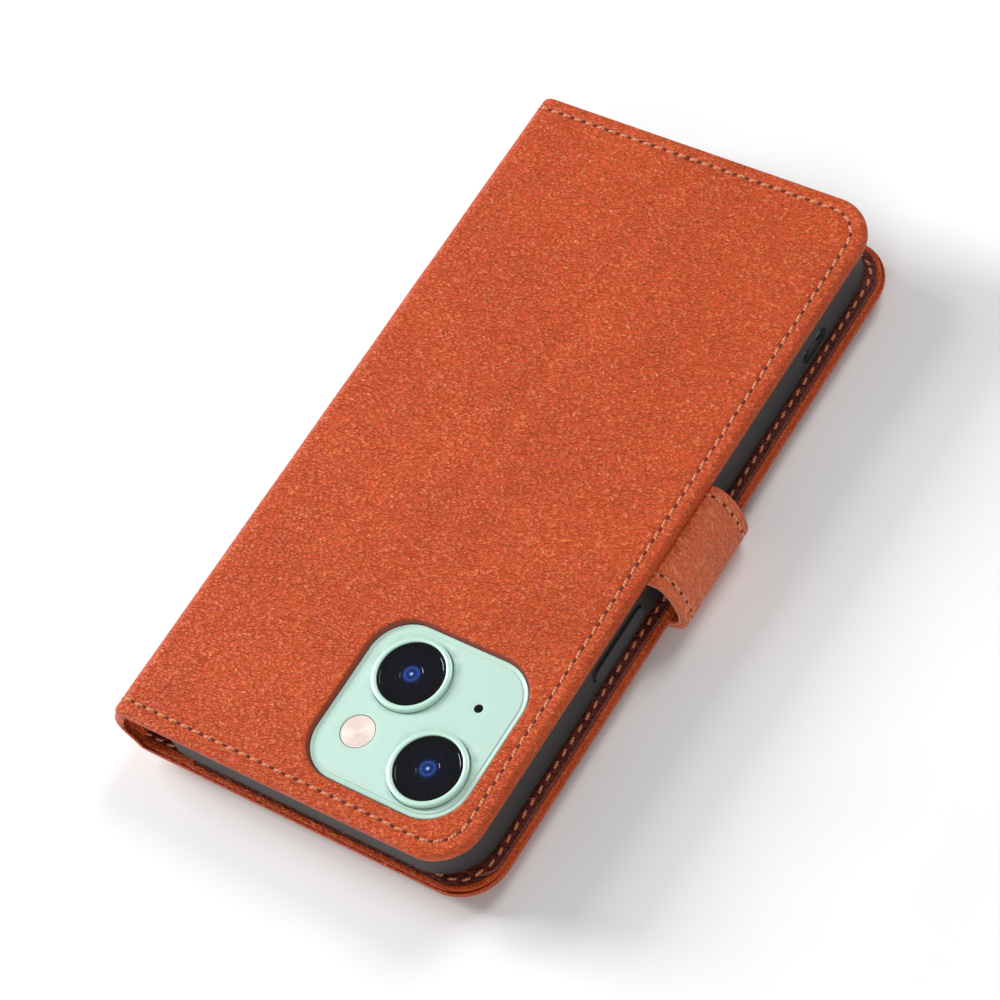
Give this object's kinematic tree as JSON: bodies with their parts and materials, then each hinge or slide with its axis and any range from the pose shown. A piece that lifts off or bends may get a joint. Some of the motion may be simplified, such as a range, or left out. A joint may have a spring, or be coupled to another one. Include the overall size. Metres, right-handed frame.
{
  "type": "phone wallet case",
  "caption": "Folding leather phone case with a flexible tray, card-holding front cover and magnetic strap, shut round a phone whose camera shows through the back.",
  "frame": {"origin": "middle of the closed case's footprint, at the height of the strap flap's outer face, which is its lowest face", "axes": "+X from the spine to the strap, +Y from the camera end to the charging-port end, +Z out of the back panel"},
  "size_m": [0.0856, 0.152, 0.0187],
  "materials": {
    "leather_shell": "fine-grained, satin",
    "leather_lining": "smooth, matt",
    "card_leather": "smooth, satin",
    "stiffener_board": "pressed fibre, matt",
    "thread": "twisted, satin",
    "tray_rubber": "soft matt",
    "magnet_steel": "plated, satin",
    "phone_aluminium": "anodised, satin",
    "phone_back_glass": "satin",
    "screen_glass": "polished",
    "lens_glass": "polished",
    "flash_lens": "frosted"
  },
  "bodies": {
    "root": {"back_skin": "leather_shell", "back_stitching": "thread", "back_board_spine_side": "stiffener_board", "back_board_strap_side": "stiffener_board", "back_lining": "leather_lining", "tray": "tray_rubber", "strap_anchor": "leather_shell", "phone_frame": "phone_aluminium", "phone_back_glass": "phone_back_glass", "phone_screen": "screen_glass", "phone_camera_plateau": "phone_back_glass", "phone_lens_ring_1": "phone_aluminium", "phone_lens_1": "lens_glass", "phone_lens_ring_2": "phone_aluminium", "phone_lens_2": "lens_glass", "phone_flash": "flash_lens", "phone_microphone": "lens_glass"},
    "spine": {"spine_skin": "leather_shell", "spine_lining": "leather_lining"},
    "cover": {"front_skin": "leather_shell", "front_stitching": "thread", "front_board": "stiffener_board", "cover_magnet": "magnet_steel", "front_lining": "leather_lining", "cash_pocket_panel": "card_leather", "card_slot_1": "card_leather", "card_slot_2": "card_leather", "card_slot_3": "card_leather"},
    "strap_band": {"strap_band_skin": "leather_shell", "strap_band_lining": "leather_shell"},
    "strap_flap": {"strap_flap_skin": "leather_shell", "strap_flap_lining": "leather_shell", "strap_magnet": "magnet_steel"},
    "power_button": {"power_button": "tray_rubber"},
    "volume_up_button": {"volume_up_button": "tray_rubber"},
    "volume_down_button": {"volume_down_button": "tray_rubber"}
  },
  "joints": [
    {"name": "cover_fold", "type": "hinge", "parent": "spine", "child": "cover", "pos_m": [-0.03985, 0, 0.004], "axis": [0, 1, 0], "range_deg": [0, 90]},
    {"name": "spine_fold", "type": "hinge", "parent": "root", "child": "spine", "pos_m": [-0.03985, 0, 0.01745], "axis": [0, 1, 0], "range_deg": [0, 90]},
    {"name": "strap_swing", "type": "hinge", "parent": "root", "child": "strap_band", "pos_m": [0.04137, 0.0005, 0.01418], "axis": [0, -1, 0], "range_deg": [0, 90]},
    {"name": "flap_swing", "type": "hinge", "parent": "strap_band", "child": "strap_flap", "pos_m": [0.0413, 0.0005, 0.00191], "axis": [0, -1, 0], "range_deg": [0, 90]},
    {"name": "power_press", "type": "slide", "parent": "root", "child": "power_button", "axis": [-1, 0, 0], "range_m": [0, 0.00035], "stiffness_N_per_m": 4000},
    {"name": "volume_up_press", "type": "slide", "parent": "root", "child": "volume_up_button", "axis": [1, 0, 0], "range_m": [0, 0.00035], "stiffness_N_per_m": 4000},
    {"name": "volume_down_press", "type": "slide", "parent": "root", "child": "volume_down_button", "axis": [1, 0, 0], "range_m": [0, 0.00035], "stiffness_N_per_m": 4000}
  ],
  "couplings": [
    {"joint": "spine_fold", "follows": "cover_fold", "ratio": 1},
    {"joint": "flap_swing", "follows": "strap_swing", "ratio": 1}
  ]
}
